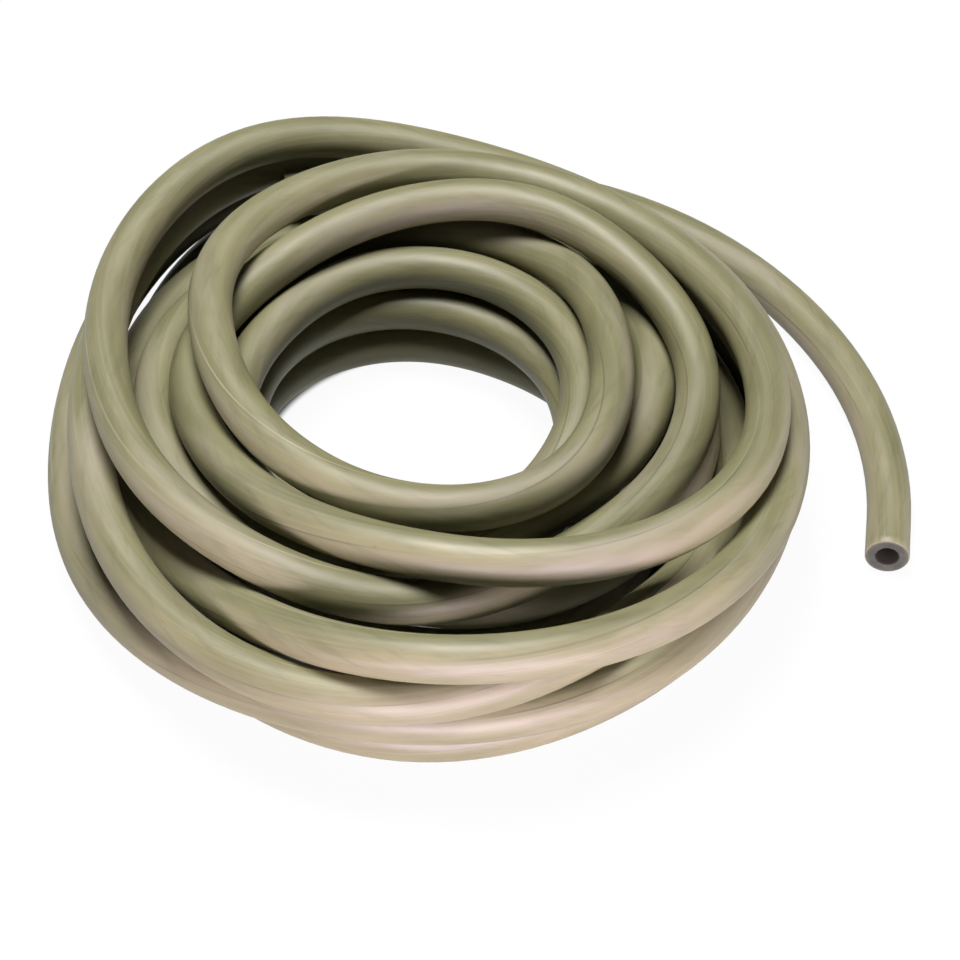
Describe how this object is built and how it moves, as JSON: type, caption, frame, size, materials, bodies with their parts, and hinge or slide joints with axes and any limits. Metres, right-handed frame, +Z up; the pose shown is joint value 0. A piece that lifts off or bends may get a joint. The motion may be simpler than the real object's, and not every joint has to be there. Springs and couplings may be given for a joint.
{
  "type": "rubber tubing coil",
  "caption": "Length of thick-walled rubber tubing wound by hand into a loose flat coil with an open eye, one cut end left free as a tail to push over a hose barb.",
  "frame": {"origin": "middle of the coil's bounding box, on the surface it lies on", "axes": "+Z up, out of the coil's flat lie; +X towards the free tail; +Y away from the viewer"},
  "size_m": [0.2366, 0.2406, 0.0566],
  "materials": {
    "rubber": "satin"
  },
  "bodies": {
    "root": {"tubing": "rubber"}
  },
  "joints": []
}
